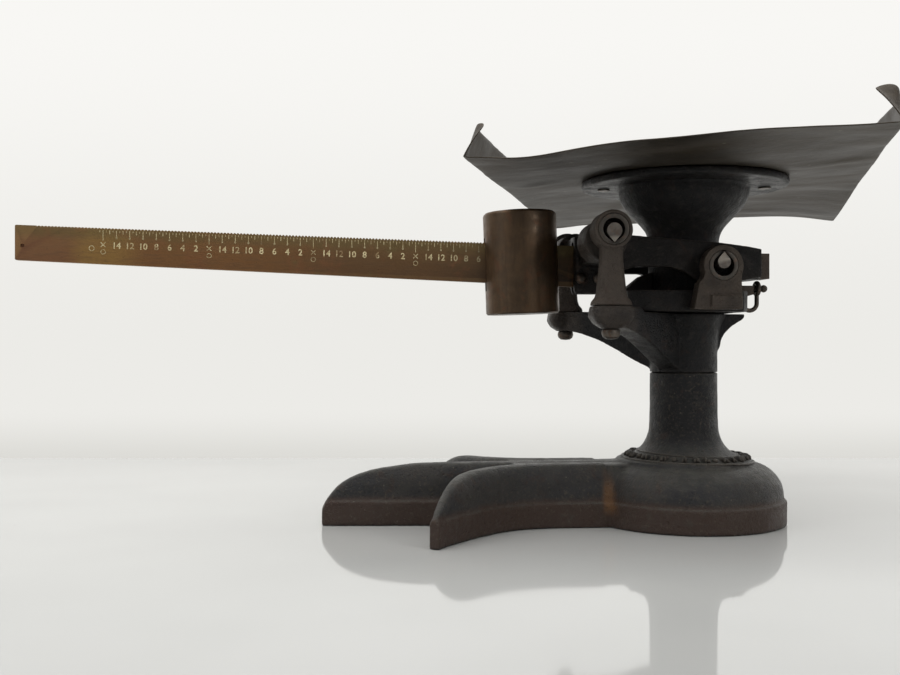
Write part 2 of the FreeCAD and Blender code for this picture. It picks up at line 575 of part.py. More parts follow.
# ---- wire hook ----------------------------------------------------------------------------------
def wire_hook():
    """A bent wire: an eye round the peg, a straight drop and a curl at the bottom."""
    x, top_z, bend_z = PEG_END - 1.0, PEG_Z - EYE_R, PEG_Z - WIRE_DROP

    def curl(angle):
        t = math.radians(angle)
        return V(x - CURL_R + CURL_R * math.cos(t), PEG_Y, bend_z - CURL_R * math.sin(t))

    path = Part.Wire([Part.LineSegment(V(x, PEG_Y, top_z), V(x, PEG_Y, bend_z)).toShape(),
                      Part.Arc(curl(0), curl(80), curl(160)).toShape()])
    profile = Part.Wire(Part.makeCircle(WIRE_R, V(x, PEG_Y, top_z), V(0, 0, 1)))
    drop = path.makePipeShell([profile], True, True)
    eye = Part.makeTorus(EYE_R, WIRE_R + 0.15, V(x, PEG_Y, PEG_Z), V(1, 0, 0))
    return eye.fuse(drop)


# ---- tray ---------------------------------------------------------------------------------------
def tray_point(s, t, up=0.0, lean_in=0.0):
    """A point of the sheet: s runs across, t along, both from -1 to 1."""
    yaw = math.radians(TRAY_YAW)
    across, along = s * TRAY_W / 2 - TRAY_TAPER * max(s, 0.0) * (1 + t) / 2, t * TRAY_L / 2
    x = TRAY_X + across * math.cos(yaw) - along * math.sin(yaw)
    y = TRAY_Y + across * math.sin(yaw) + along * math.cos(yaw)
    away = min(max((math.hypot(x, y) - DISC_R - 2.0) / 70.0, 0.0), 1.0)
    away = away * away * (3 - 2 * away)
    swell = 3.2 * s - 3.0 * t + 2.6 * math.cos(2.4 * (s - 0.35)) * (0.6 - 0.4 * t)
    bend = math.sin(math.pi / 2 * max((t + 0.4) / 1.4, 0.0)) ** 2
    swell -= TRAY_CORNER_DROP * bend * max(s, 0.0) ** 4
    for height, place, spread in NEAR_EDGE_WAVES:
        swell += height * math.exp(-((s - place) / spread) ** 2) * max(-t, 0.0) ** 2
    inward = -math.copysign(lean_in, s)
    return V(x + inward * math.cos(yaw), y + inward * math.sin(yaw), TRAY_Z + away * swell + up)


def sheet_face(rows):
    surface = Part.BSplineSurface()
    surface.interpolate(rows)
    return surface.toShape()


def tray_sheet():
    """The tin: a dented floor and two leaning lips along its long edges."""
    across = [i / 8 for i in range(-8, 9)]
    along = [i / 10 for i in range(-10, 11)]
    floor = sheet_face([[tray_point(s, t) for t in along] for s in across]).extrude(V(0, 0, TRAY_T))
    yaw = math.radians(TRAY_YAW)
    shapes = [floor]
    for side in (-1, 1):
        inward = V(-side * TRAY_T * math.cos(yaw), -side * TRAY_T * math.sin(yaw), 0)
        rows = []
        for k in range(4):
            up = LIP_H * k / 3 * math.cos(math.radians(LIP_LEAN)) + 0.05
            lean_in = LIP_H * k / 3 * math.sin(math.radians(LIP_LEAN)) * (k / 3) ** 0.5
            rows.append([tray_point(side, t, up, lean_in) for t in along])
        shapes.append(sheet_face(rows).extrude(inward))
    tray = fuse(shapes)
    for x, y in screw_places():
        tray = tray.cut(cyl(2.6, 12, (x, y, DISC_BOTTOM)))
    return tray


def tray_screws():
    """Two screws from the tray through the disc, peened over below."""
    shapes = []
    for x, y in screw_places():
        top = TRAY_Z + TRAY_T + 0.15
        shapes.append(fuse([screw(5.0, 1.8, 2.6, top - DISC_BOTTOM, (x, y, top), (0, 0, -1)),
                            cyl(4.2, 0.9, (x, y, DISC_BOTTOM - 0.9))]))
    return Part.makeCompound(shapes)


# ---- check link ---------------------------------------------------------------------------------
def check_link():
    """The bar that runs parallel to the lever's short arm."""
    x0, z0, x1, z1 = LINK_ROOT_X, LINK_ROOT_Z, LINK_STEM_X, LINK_STEM_Z
    half = LINK_THICK / 2
    bar = plate([(x0, z0 + 4), (x1, z1 + 4), (x1, z1 - 4), (x0, z0 - 4)], -half, half)
    link = fuse([bar, y_cyl(5.6, x0, z0, -half, half), y_cyl(5.6, x1, z1, -half, half)])
    for x, z in ((x0, z0), (x1, z1)):
        link = link.cut(y_cyl(LINK_PIN_R + RUN_GAP, x, z, -6, 6))
    return link


def main():
    parts["base_casting"] = base_casting()
    parts["head_casting"] = head_casting()
    parts["link_root_pin"] = y_cyl(LINK_PIN_R, LINK_ROOT_X, LINK_ROOT_Z, -9.5, 9.5)
    parts["lever_frame"] = lever_frame()
    parts["beam_bar"] = beam_bar()
    parts["beam_rivets"] = beam_rivets()
    parts["heel_plug"] = heel_plug()
    parts["poise_body"] = poise_body()
    parts["poise_cap"] = poise_cap()
    parts["poise_pawl"] = poise_pawl()
    parts["neck_casting"] = neck_casting()
    parts["bed_casting"] = bed_casting()
    parts["stem_rod"] = stem_rod()
    parts["stem_clevis"] = stem_clevis()
    parts["stem_nut"] = stem_nut()
    parts["link_stem_pin"] = y_cyl(LINK_PIN_R, LINK_STEM_X, LINK_STEM_Z, -7.6, 7.6)
    parts["hook_peg"] = hook_peg()
    parts["wire_hook"] = wire_hook()
    parts["tray_sheet"] = tray_sheet()
    parts["tray_screws"] = tray_screws()
    parts["check_link"] = check_link()
    for side, way in SIDES:
        parts[side + "_bearing_post"] = bearing_post(way)
        parts[side + "_fulcrum_bearing"] = fulcrum_bearing(way)
        parts[side + "_post_screw"] = post_screw(way)
        parts[side + "_fulcrum_pivot"] = knife_edge(PIVOT_R, FULCRUM_X, FULCRUM_Z, False,
                                                    way * 44, way * 79.6)
        parts[side + "_load_pivot"] = knife_edge(LOAD_PIVOT_R, LOAD_X, LOAD_Z, True, way * 33.5, way * 53.6)
        parts[side + "_load_block"] = load_block(way)
        parts[side + "_load_bearing"] = load_bearing(way)

    os.makedirs("parts", exist_ok=True)
    for name, shape in parts.items():
        shape.exportStep("parts/" + name + ".step")
        ok = "ok" if shape.isValid() and shape.isClosed() else "BAD"
        print(name, len(shape.Solids), ok, round(shape.Volume / 1000, 2), "cm3")


main()
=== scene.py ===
import json
import math
import random

import bmesh
import bpy
from mathutils import Matrix, Vector, noise
from mathutils.bvhtree import BVHTree


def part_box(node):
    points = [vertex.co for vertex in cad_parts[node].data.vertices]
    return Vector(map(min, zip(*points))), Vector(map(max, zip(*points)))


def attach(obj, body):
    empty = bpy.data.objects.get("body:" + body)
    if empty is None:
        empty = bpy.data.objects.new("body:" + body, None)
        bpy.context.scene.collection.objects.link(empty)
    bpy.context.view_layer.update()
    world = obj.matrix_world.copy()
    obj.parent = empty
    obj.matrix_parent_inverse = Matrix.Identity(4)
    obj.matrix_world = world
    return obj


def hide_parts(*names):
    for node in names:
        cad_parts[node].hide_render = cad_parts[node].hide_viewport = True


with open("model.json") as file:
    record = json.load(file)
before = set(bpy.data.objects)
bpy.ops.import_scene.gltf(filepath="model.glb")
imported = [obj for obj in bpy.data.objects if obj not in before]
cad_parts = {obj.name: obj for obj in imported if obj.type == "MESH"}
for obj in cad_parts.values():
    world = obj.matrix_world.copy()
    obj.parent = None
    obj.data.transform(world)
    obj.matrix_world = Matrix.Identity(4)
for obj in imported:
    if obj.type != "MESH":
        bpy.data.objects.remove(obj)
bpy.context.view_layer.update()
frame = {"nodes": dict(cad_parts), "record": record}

scene = bpy.context.scene
random.seed(11)

BODY_OF = {n: b for b, nodes in frame["record"]["behaviour"]["bodies"].items() for n in nodes}

# ---- driving dimensions, in metres ---------------------------------------------------------------
MM = 0.001

# tray; a place on it is (across, along) from its middle, and its near end is at -TRAY_HALF_L
TRAY_CENTRE, TRAY_YAW = (0.0125, 0.0369), math.radians(-20)
TRAY_HALF_W, TRAY_HALF_L, TRAY_THICK = 0.12225, 0.173, 0.8 * MM
TRAY_TAPER = 4 * MM  # how far the right edge comes in towards the far end
TRAY_Z, SEARCH_Z = 0.2337, 0.2445  # plain sheet, and a start for searches that is below the lips' tops
FLOOR_COLUMNS, CLOSE_ROWS, CLOSE_STEP, OPEN_ROWS = 56, 20, 1.1 * MM, 74
LIP_SHARES = (0.03, 0.09, 0.26, 0.45, 0.64, 0.82, 1.0)
LIP_LENGTH = {-1: 20.3 * MM, 1: 16.8 * MM}
LIP_END_EXTRA = {-1: 3.5 * MM, 1: 7.5 * MM}
FOLD_REACH, EXTRA_REACH = 5.5 * MM, 12 * MM
DISC_R = 0.070
# folds across the sheet: (a place on the line, its heading, half width, height)
CREASES = (((-0.095, -0.060), -0.09, 0.007, -1.8 * MM),
           ((0.090, -0.060), -0.9, 0.016, 1.2 * MM),
           ((0.0, 0.125), 0.15, 0.014, -1.2 * MM))

# graduations on the beam; drops are measured down from its top edge
BEAM_SLOPE = -0.0293
ZERO_X, OUNCE, OUNCES, OUNCES_PER_POUND = -0.1170, 0.004267, 65, 16
TICK_WIDTH, MARK_THICK, MARK_SINK = 0.34 * MM, 0.12 * MM, 0.04 * MM
TICK_TOP, HALF_TICK, ODD_TICK, EVEN_TICK, POUND_TICK = (d * MM for d in (1.5, 2.7, 4.0, 6.6, 8.2))
CROSS_TOP, CROSS_FOOT, CROSS_HALF_W = 9.4 * MM, 12.4 * MM, 1.5 * MM
RING_DROP, RING_R, END_RING_DROP, END_RING_R, END_RING_GAP = (d * MM for d in (15.6, 1.5, 13.5, 1.7, 3))
NUMERAL_SIZE, NUMERAL_DROP, NUMERAL_BOLD = 5.8 * MM, 11.4 * MM, 0.10 * MM

# ornament round the foot of the column
ORNAMENT_X, ORNAMENT_R, ORNAMENT_COUNT, BEAD_EVERY = 2.5 * MM, 39.2 * MM, 36, 4
RIMS = ((5.2 * MM, 0.9 * MM), (-5.2 * MM, 0.7 * MM))  # distance from the ring of leaves, half thickness
RIM_SIDES, RIM_STEPS = 8, 96
LEAF_SIDES = 12
LEAF_RINGS = ((1.0, -0.5), (0.96, 0.35), (0.72, 0.85), (0.36, 1.0))  # share of its plan, of its height
FOOT_SEARCH_Z = 0.06

# camera and room
CAMERA_AT, CAMERA_TURN = Vector((-0.225, -0.701, 0.1216)), math.radians(5.15)
LENS, SHIFT_Y = 41.6, 0.0061
TABLE_EDGE, WALL_DISTANCE = 1.10, 2.60  # ahead of the camera
TABLE_START, TABLE_HALF_W, TABLE_Z = -1.2, 1.8, -0.2 * MM
WALL_HALF_W, WALL_FOOT, WALL_TOP = 4.0, -0.6, 3.6
LIGHTS = (  # name, place, aim, size, power
    ("tray_light", (-0.15, 0.00, 0.95), (-0.12, 0.39, 0.22), (2.4, 0.3), 8.2),
    ("tray_front_light", (-0.15, -0.35, 0.80), (-0.12, 0.39, 0.15), (2.0, 0.4), 4.0),
    ("top_light", (-0.45, -0.30, 1.30), (-0.1, 0.0, 0.0), (1.4, 1.0), 3),
    ("left_light", (-1.40, -0.45, 0.70), (-0.1, 0.0, 0.15), (0.8, 0.8), 2),
    ("right_fill", (0.75, -1.15, 0.60), (0.0, 0.0, 0.12), (0.5, 0.5), 3.5))
SKY_COLOUR, SKY_STRENGTH = (0.97, 0.985, 1.0, 1), 0.24


# ---- materials -----------------------------------------------------------------------------------
class Surface:
    """A procedural material, built up by small calls that each return an output socket."""

    MIX_A, MIX_B, MIX_RESULT = 6, 7, 2  # the colour sockets of a mix node, which share their names

    def __init__(self, name, stretch=(1, 1, 1)):
        self.material = bpy.data.materials.new(name)
        self.material.use_nodes = True
        self.nodes = self.material.node_tree.nodes
        self.links = self.material.node_tree.links
        self.shader = self.nodes["Principled BSDF"]
        self.place = self.add("ShaderNodeTexCoord").outputs["Object"]
        self.stretched = self.scaled(self.place, stretch)

    def add(self, kind, **values):
        node = self.nodes.new(kind)
        for name, value in values.items():
            setattr(node, name, value)
        return node

    def plug(self, value, socket):
        if isinstance(value, bpy.types.NodeSocket):
            self.links.new(value, socket)
        else:
            socket.default_value = value

    def scaled(self, vector, stretch):
        node = self.add("ShaderNodeMapping")
        self.plug(vector, node.inputs["Vector"])
        node.inputs["Scale"].default_value = stretch
        return node.outputs["Vector"]

    def noise(self, size, detail=4.0, rough=0.55, vector=None, twist=0.0):
        """Cloudy variation from 0 to 1, whose lumps are about size metres across."""
        node = self.add("ShaderNodeTexNoise")
        self.plug(vector or self.place, node.inputs["Vector"])
        node.inputs["Scale"].default_value = 1.0 / size
        node.inputs["Detail"].default_value = detail
        node.inputs["Roughness"].default_value = rough
        node.inputs["Distortion"].default_value = twist
        return node.outputs["Fac"]

    def cells(self, size, vector=None):
        """Distance from the nearest of scattered points, for pits and specks."""
        node = self.add("ShaderNodeTexVoronoi")
        self.plug(vector or self.place, node.inputs["Vector"])
        node.inputs["Scale"].default_value = 1.0 / size
        return node.outputs["Distance"]

    def ramp(self, value, low, high, start=0.0, end=1.0):
        """Value from low..high mapped smoothly to start..end."""
        node = self.add("ShaderNodeMapRange", interpolation_type="SMOOTHSTEP")
        self.plug(value, node.inputs["Value"])
        limits = (("From Min", low), ("From Max", high), ("To Min", start), ("To Max", end))
        for name, number in limits:
            node.inputs[name].default_value = number
        return node.outputs["Result"]

    def calc(self, operation, a, b=0.0):
        """One sum; b is left out where the operation takes a single value."""
        node = self.add("ShaderNodeMath", operation=operation)
        self.plug(a, node.inputs[0])
        self.plug(b, node.inputs[1])
        return node.outputs[0]

    def times(self, a, b):
        return self.calc("MULTIPLY", a, b)

    def mix(self, amount, first, second):
        node = self.add("ShaderNodeMix", data_type="RGBA")
        self.plug(amount, node.inputs["Factor"])
        self.plug(first, node.inputs[self.MIX_A])
        self.plug(second, node.inputs[self.MIX_B])
        return node.outputs[self.MIX_RESULT]

    def part_of(self, vector, letter):
        node = self.add("ShaderNodeSeparateXYZ")
        self.plug(vector, node.inputs[0])
        return node.outputs[letter]

    def axis(self, letter):
        return self.part_of(self.place, letter)

    def facing(self, letter):
        """How far the surface faces along an axis of the object, from -1 to 1."""
        return self.part_of(self.add("ShaderNodeTexCoord").outputs["Normal"], letter)

    def rubbed(self, colour, bare, share, low=0.52, high=0.60):
        """Paint and patina worn off the outer edges."""
        edges = self.ramp(self.add("ShaderNodeNewGeometry").outputs["Pointiness"], low, high)
        return self.mix(self.times(edges, share), colour, bare)

    def grimy(self, colour, shade_and_grime_colour, share):
        """Painted shade, with some dirt: darker in corners and creases, where ambient occlusion finds
        them.
        """
        node = self.add("ShaderNodeAmbientOcclusion", samples=6)
        node.inputs["Distance"].default_value = 0.006
        return self.mix(self.ramp(node.outputs["AO"], 0.15, 0.75, share, 0.0), colour, shade_and_grime_colour)

    def speckled(self, colour, spot, size, core, rim, share, vector=None):
        """Scattered spots, size metres apart; core and rim are shares of that distance."""
        return self.mix(self.ramp(self.cells(size, vector), core, rim, share, 0.0), colour, spot)

    def bump(self, *layers):
        """Layers of (height socket, depth in metres), finest last."""
        normal = None
        for height, depth in layers:
            node = self.add("ShaderNodeBump")
            node.inputs["Strength"].default_value = 1.0
            node.inputs["Distance"].default_value = depth
            self.plug(height, node.inputs["Height"])
            if normal is not None:
                self.plug(normal, node.inputs["Normal"])
            normal = node.outputs["Normal"]
        self.plug(normal, self.shader.inputs["Normal"])

    def finish(self, colour, roughness, metallic=0.0, specular=0.5, coat=0.0):
        self.plug(colour, self.shader.inputs["Base Color"])
        self.plug(roughness, self.shader.inputs["Roughness"])
        self.plug(metallic, self.shader.inputs["Metallic"])
        self.plug(specular, self.shader.inputs["Specular IOR Level"])
        self.shader.inputs["Coat Weight"].default_value = coat
        self.shader.inputs["Coat Roughness"].default_value = 0.25
        return self.material


def tone(r, g, b):
    """A colour given in 0 to 255 display values, as the linear colour that shaders take."""
    shares = [c / 255 for c in (r, g, b)]
    linear = [c / 12.92 if c < 0.0404 else ((c + 0.055) / 1.055) ** 2.4 for c in shares]
    return (*linear, 1.0)


def iron(name, dark, body, dust, rust_share, gloss):
    """Old japanned casting: sandy skin, dust on what faces up, rust in patches and bare edges."""
    s = Surface(name)
    cloud = s.noise(0.030, 5, 0.6)
    mottle = s.noise(0.006, 6, 0.65)
    grit = s.noise(0.0011, 5, 0.7)
    pits = s.ramp(s.cells(0.0032), 0.08, 0.30)
    colour = s.mix(s.ramp(cloud, 0.36, 0.66), dark, body)
    colour = s.mix(s.ramp(mottle, 0.48, 0.74, 0.0, 0.45), colour, tone(62, 56, 51))
    rust = s.times(s.ramp(s.noise(0.017, 7, 0.68, twist=0.6), 0.56, 0.70), rust_share)
    colour = s.mix(rust, colour, tone(58, 38, 27))
    up = s.times(s.ramp(s.facing("Z"), 0.2, 1.0), s.ramp(mottle, 0.35, 0.6, 0.25, 0.8))
    colour = s.mix(up, colour, dust)
    colour = s.rubbed(colour, tone(92, 84, 74), 0.5)
    # painted shade, with some dirt: near-black in corners and creases, from ambient occlusion
    colour = s.grimy(colour, tone(9, 7, 6), 0.8)
    squashed = s.scaled(s.place, (1.0, 1.3, 0.9))
    colour = s.speckled(colour, tone(120, 114, 104), 0.0060, 0.030, 0.060, 0.5, squashed)
    grain = s.ramp(s.noise(0.0017, 3, 0.6), 0.56, 0.72, 0.0, 0.4)
    colour = s.mix(grain, colour, tone(58, 50, 44))
    # castings turn browner away from the column, where hands have rubbed them
    from_column = s.add("ShaderNodeVectorMath", operation="LENGTH")
    s.plug(s.scaled(s.place, (1, 1, 0)), from_column.inputs[0])
    outer = s.ramp(from_column.outputs["Value"], 0.074, 0.086, 0.0, 0.75)
    outer = s.times(outer, s.ramp(mottle, 0.30, 0.62, 0.55, 1.0))
    colour = s.mix(outer, colour, tone(64, 56, 49))
    rough = s.ramp(s.noise(0.009, 4), 0.3, 0.7, gloss - 0.05, gloss + 0.14)
    s.bump((mottle, 1.10 * MM), (pits, 0.35 * MM), (grit, 0.90 * MM))
    return s.finish(colour, rough, 0.0, 0.26, 0.02)


def black_iron():
    return iron("black_iron", tone(12, 12, 14), tone(22, 21, 21), tone(62, 60, 55), 0.45, 0.33)


def brown_iron():
    return iron("brown_iron", tone(58, 51, 45), tone(84, 74, 65), tone(108, 97, 84), 0.6, 0.44)


def lever_iron():
    return iron("lever_iron", tone(12, 10, 9), tone(26, 21, 18), tone(56, 48, 41), 0.5, 0.42)


def base_iron():
    """The base: grey-black, browner along its skirt, with one run of rust on its near side."""
    s = Surface("base_iron")
    cloud = s.noise(0.034, 5, 0.6)
    mottle = s.noise(0.006, 6, 0.65)
    grit = s.noise(0.0011, 5, 0.7)
    pits = s.ramp(s.cells(0.0034), 0.08, 0.30)
    height = s.axis("Z")
    colour = s.mix(s.ramp(cloud, 0.36, 0.66), tone(44, 44, 45), tone(60, 57, 54))
    wander = s.times(s.noise(0.02, 3), 0.004)
    skirt = s.ramp(s.calc("ADD", height, wander), 0.0180, 0.0230, 1.0, 0.0)
    colour = s.mix(s.times(skirt, 0.9), colour, tone(66, 50, 41))
    colour = s.mix(s.ramp(height, 0.0420, 0.0620, 0.0, 0.85), colour, tone(16, 16, 18))
    rust = s.times(s.ramp(s.noise(0.015, 7, 0.68, twist=0.6), 0.55, 0.68), 0.5)
    colour = s.mix(rust, colour, tone(62, 42, 30))
    colour = s.mix(s.ramp(mottle, 0.50, 0.76, 0.0, 0.45), colour, tone(70, 66, 60))
    up = s.times(s.ramp(s.facing("Z"), 0.3, 1.0), s.ramp(mottle, 0.35, 0.6, 0.3, 0.85))
    colour = s.mix(up, colour, tone(78, 77, 71))
    across = s.calc("ABSOLUTE", s.calc("ADD", s.axis("X"), 0.0590))
    run = s.ramp(s.calc("ADD", across, s.times(mottle, 0.004)), 0.0030, 0.0075, 1, 0)
    run = s.times(run, s.ramp(height, 0.006, 0.014))
    run = s.times(run, s.ramp(s.axis("Y"), -0.020, -0.024))
    run = s.times(run, s.ramp(height, 0.022, 0.034, 1.0, 0.25))
    colour = s.mix(s.times(run, 0.75), colour, tone(118, 84, 52))
    colour = s.rubbed(colour, tone(104, 96, 84), 0.55)
    # painted shade, with some dirt: dark brown-black in corners and creases, from ambient occlusion
    colour = s.grimy(colour, tone(18, 15, 13), 0.7)
    squashed = s.scaled(s.place, (1.0, 1.3, 0.9))
    colour = s.speckled(colour, tone(128, 122, 110), 0.0065, 0.035, 0.080, 0.55, squashed)
    grain = s.ramp(s.noise(0.0018, 3, 0.6), 0.54, 0.70, 0.0, 0.5)
    colour = s.mix(grain, colour, tone(86, 76, 66))
    rough = s.ramp(s.noise(0.009, 4), 0.3, 0.7, 0.30, 0.48)
    s.bump((mottle, 1.10 * MM), (pits, 0.45 * MM), (grit, 1.10 * MM))
    return s.finish(colour, rough, 0.0, 0.30, 0.02)


def beam_brass():
    """Tarnished brass: red and yellow at the tip, brown along the middle, nearly black inboard, where
    dark oxide and a painted shadow of the poise darken it.
    """
    s = Surface("beam_brass", (0.12, 1, 1))
    x = s.axis("X")
    wander = s.calc("ADD", x, s.times(s.noise(0.045, 4), 0.030))
    colour = s.mix(s.ramp(wander, -0.300, -0.205), tone(124, 84, 50), tone(96, 68, 44))
    colour = s.mix(s.ramp(wander, -0.420, -0.330, 1.0, 0.0), colour, tone(128, 88, 62))
    patch = s.times(s.ramp(wander, -0.400, -0.385), s.ramp(wander, -0.372, -0.345, 1.0, 0.0))
    colour = s.mix(s.times(patch, 0.7), colour, tone(156, 122, 64))
    colour = s.mix(s.ramp(wander, -0.180, -0.100), colour, tone(52, 40, 32))
    # painted shadow of the poise, with dark oxide, on the stretch beside the hub
    colour = s.mix(s.ramp(wander, -0.090, -0.066), colour, tone(22, 18, 18))
    below = s.calc("SUBTRACT", s.times(x, BEAM_SLOPE), s.axis("Z"))
    band = s.calc("ADD", below, s.times(s.noise(0.012, 4), 0.006))
    top_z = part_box("beam_bar")[1].z - BEAM_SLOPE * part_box("beam_bar")[0].x
    green = s.ramp(s.calc("ADD", band, top_z), 0.0060, 0.0135, 0.60, 0.0)
    colour = s.mix(green, colour, tone(84, 84, 52))
    blotch = s.noise(0.024, 6, 0.65, twist=0.8)
    colour = s.mix(s.ramp(blotch, 0.54, 0.70, 0.0, 0.5), colour, tone(132, 80, 54))
    colour = s.mix(s.ramp(s.noise(0.013, 6, 0.6), 0.58, 0.74, 0.0, 0.5), colour, tone(96, 92, 58))
    streak = s.noise(0.0016, 5, 0.6, s.stretched)
    colour = s.mix(s.ramp(streak, 0.40, 0.72, 0.0, 0.45), colour, tone(66, 48, 36))
    top = s.ramp(s.facing("Z"), 0.3, 0.9)
    colour = s.mix(s.times(top, 0.5), colour, tone(150, 118, 74))
    flattened = s.scaled(s.place, (1, 1, 1.4))
    colour = s.speckled(colour, tone(44, 34, 28), 0.0050, 0.05, 0.13, 0.55, flattened)
    colour = s.rubbed(colour, tone(176, 140, 90), 0.4, 0.51, 0.56)
    rough = s.ramp(streak, 0.3, 0.7, 0.34, 0.52)
    s.bump((s.noise(0.004, 4), 0.10 * MM), (streak, 0.06 * MM))
    return s.finish(colour, rough, 0.55)


def scale_paint():
    """Old pale fill of the graduations, rubbed away in places."""
    s = Surface("scale_paint")
    worn = s.ramp(s.noise(0.010, 5, 0.7), 0.32, 0.50)
    fine = s.ramp(s.noise(0.0012, 4, 0.7), 0.35, 0.60)
    pale = s.mix(fine, tone(168, 146, 100), tone(226, 212, 168))
    fade = s.ramp(s.axis("X"), -0.175, -0.130)
    colour = s.mix(worn, tone(128, 98, 62), pale)
    colour = s.mix(s.times(fade, 0.75), colour, tone(74, 58, 42))
    return s.finish(colour, 0.6, 0.1)


def poise_bronze():
    """Brown patina over turned bronze, with a redder bloom and rubbed rims."""
    s = Surface("poise_bronze", (1, 1, 0.10))
    cloud = s.noise(0.020, 5, 0.6)
    colour = s.mix(s.ramp(cloud, 0.38, 0.64), tone(56, 48, 39), tone(78, 62, 46))
    bloom = s.ramp(s.noise(0.011, 6, 0.65, twist=0.7), 0.52, 0.68, 0.0, 0.7)
    colour = s.mix(bloom, colour, tone(86, 56, 40))
    drip = s.noise(0.0028, 5, 0.6, s.stretched)
    colour = s.mix(s.ramp(drip, 0.50, 0.72, 0.0, 0.5), colour, tone(36, 30, 26))
    colour = s.speckled(colour, tone(30, 24, 20), 0.0044, 0.05, 0.14, 0.5)
    colour = s.rubbed(colour, tone(140, 108, 76), 0.7, 0.51, 0.56)
    ring = s.noise(0.0009, 3, 0.5, s.scaled(s.place, (0.05, 0.05, 1)))
    rough = s.ramp(s.noise(0.007, 5), 0.3, 0.7, 0.30, 0.50)
    s.bump((s.noise(0.005, 5, 0.6), 0.12 * MM), (ring, 0.03 * MM))
    return s.finish(colour, rough, 0.65)


def tray_tin():
    """Dull tinned sheet: fine rolling streaks, brown tarnish, smears and small pale dings."""
    s = Surface("tray_tin")
    turn = s.add("ShaderNodeMapping")
    s.plug(s.place, turn.inputs["Vector"])
    turn.inputs["Rotation"].default_value = (0, 0, -TRAY_YAW)
    local = turn.outputs["Vector"]
    streak = s.noise(0.0020, 6, 0.65, s.scaled(local, (0.06, 1, 1)))
    broad = s.noise(0.030, 5, 0.6, s.scaled(local, (0.35, 1, 1)))
    colour = s.mix(s.ramp(broad, 0.34, 0.66), tone(60, 54, 46), tone(84, 77, 68))
    stain = s.noise(0.022, 7, 0.7, s.scaled(local, (0.5, 1, 1)), 0.7)
    colour = s.mix(s.ramp(stain, 0.50, 0.68, 0.0, 0.75), colour, tone(68, 58, 44))
    colour = s.mix(s.ramp(streak, 0.42, 0.68, 0.0, 0.55), colour, tone(58, 53, 47))
    smear = s.ramp(s.noise(0.060, 4, 0.6), 0.5, 0.7, 0.0, 0.4)
    colour = s.mix(smear, colour, tone(60, 57, 54))
    narrowed = s.scaled(local, (1, 1.9, 1))
    colour = s.speckled(colour, tone(140, 135, 124), 0.021, 0.03, 0.075, 0.65, narrowed)
    colour = s.speckled(colour, tone(52, 45, 37), 0.0072, 0.04, 0.10, 0.45)
    colour = s.rubbed(colour, tone(66, 56, 44), 0.6, 0.51, 0.60)
    rough = s.ramp(broad, 0.3, 0.7, 0.40, 0.56)
    s.bump((s.noise(0.016, 4), 0.50 * MM), (streak, 0.07 * MM))
    return s.finish(colour, rough, 0.60)


def worn_steel(name, colour_a, colour_b, rust):
    """Ground steel gone dull, with brown bloom."""
    s = Surface(name, (1, 0.15, 1))
    cloud = s.noise(0.006, 5, 0.6)
    colour = s.mix(s.ramp(cloud, 0.36, 0.66), colour_a, colour_b)
    bloom = s.ramp(s.noise(0.004, 6, 0.7, twist=0.5), 0.50, 0.66, 0.0, rust)
    colour = s.mix(bloom, colour, tone(82, 54, 38))
    colour = s.rubbed(colour, tone(168, 160, 148), 0.5, 0.51, 0.58)
    scratch = s.noise(0.0007, 4, 0.6, s.stretched)
    s.bump((cloud, 0.15 * MM), (scratch, 0.06 * MM))
    return s.finish(colour, s.ramp(scratch, 0.3, 0.7, 0.34, 0.52), 0.8)


def knife_steel():
    return worn_steel("knife_steel", tone(70, 66, 63), tone(100, 93, 86), 0.5)


def bearing_steel():
    return worn_steel("bearing_steel", tone(26, 24, 22), tone(40, 35, 32), 0.6)


def fastener_steel():
    return worn_steel("fastener_steel", tone(60, 56, 52), tone(88, 80, 72), 0.7)


def glossy_table():
    """Polished off-white top with faint clouds and a few specks."""
    s = Surface("floor_white")
    cloud = s.ramp(s.noise(0.35, 3), 0.35, 0.65)
    colour = s.mix(cloud, (0.535, 0.535, 0.515, 1), (0.585, 0.585, 0.565, 1))
    colour = s.speckled(colour, tone(150, 130, 112), 0.075, 0.006, 0.012, 0.35)
    rough = s.ramp(s.noise(0.12, 4), 0.3, 0.7, 0.04, 0.08)
    return s.finish(colour, rough, 0.0, 0.75)


def glowing_wall():
    """Evenly lit pale wall, a little dimmer towards its foot."""
    s = Surface("wall_white")
    height = s.axis("Z")
    glow = s.mix(s.ramp(height, -0.19, -0.04), tone(219, 218, 213), tone(236, 235, 231))
    glow = s.mix(s.ramp(height, 0.10, 0.95), glow, tone(248, 247, 244))
    s.plug(glow, s.shader.inputs["Emission Color"])
    s.shader.inputs["Emission Strength"].default_value = 1.0
    return s.finish((0.0, 0.0, 0.0, 1.0), 1.0, 0.0, 0.0)


# ---- meshes --------------------------------------------------------------------------------------
def settle(piece, node):
    """A new piece takes its place on the body of the node."""
    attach(piece, BODY_OF[node])
    return piece


def bake_modifiers(piece):
    graph = bpy.context.evaluated_depsgraph_get()
    mesh = bpy.data.meshes.new_from_object(piece.evaluated_get(graph))
    piece.modifiers.clear()
    piece.data = mesh


def new_piece(name, bm, material, smooth=True):
    mesh = bpy.data.meshes.new(name)
    bm.normal_update()
    bm.to_mesh(mesh)
    bm.free()
    piece = bpy.data.objects.new(name, mesh)
    scene.collection.objects.link(piece)
    mesh.materials.append(material)
    for polygon in mesh.polygons:
        polygon.use_smooth = smooth
    return piece


def painted(piece, material):
    piece.data.materials.clear()
    piece.data.materials.append(material)


